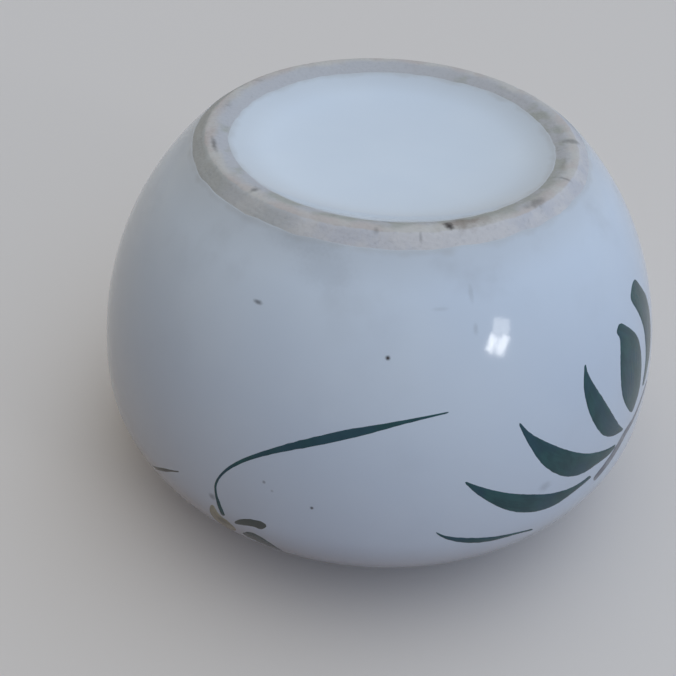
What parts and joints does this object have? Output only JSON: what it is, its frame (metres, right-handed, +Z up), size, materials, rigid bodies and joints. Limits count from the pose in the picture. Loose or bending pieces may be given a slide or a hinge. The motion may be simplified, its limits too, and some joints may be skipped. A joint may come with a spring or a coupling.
{
  "type": "brush holder pot",
  "caption": "Globular glazed porcelain pot with an in-curved mouth, a bare foot ring and brushed leaf strokes; holds writing brushes and is shown standing mouth down.",
  "frame": {"origin": "Middle of the mouth, on the plane that the pot stands on in the picture.", "axes": "+Z runs up the turning axis from the mouth to the foot ring, -Y faces the viewer of the picture and +X is to their right. For use as a brush holder the pot is turned half a turn about X, so that the mouth is up."},
  "size_m": [0.11, 0.11, 0.072],
  "materials": {
    "bare_clay": "matt, unglazed",
    "white_glaze": "glossy",
    "green_enamel": "glossy",
    "olive_enamel": "glossy",
    "grey_enamel": "glossy"
  },
  "bodies": {
    "root": {"clay_body": "bare_clay", "outer_glaze": "white_glaze", "inner_glaze": "white_glaze", "base_glaze": "white_glaze", "spray_leaf_1": "green_enamel", "spray_leaf_2": "green_enamel", "spray_leaf_3": "green_enamel", "spray_leaf_4": "green_enamel", "spray_leaf_5": "green_enamel", "spray_leaf_6": "green_enamel", "spray_twig": "grey_enamel", "grass_blade": "green_enamel", "ground_leaf": "green_enamel", "ground_stroke": "green_enamel", "bud": "olive_enamel", "side_twig": "green_enamel"}
  },
  "joints": []
}
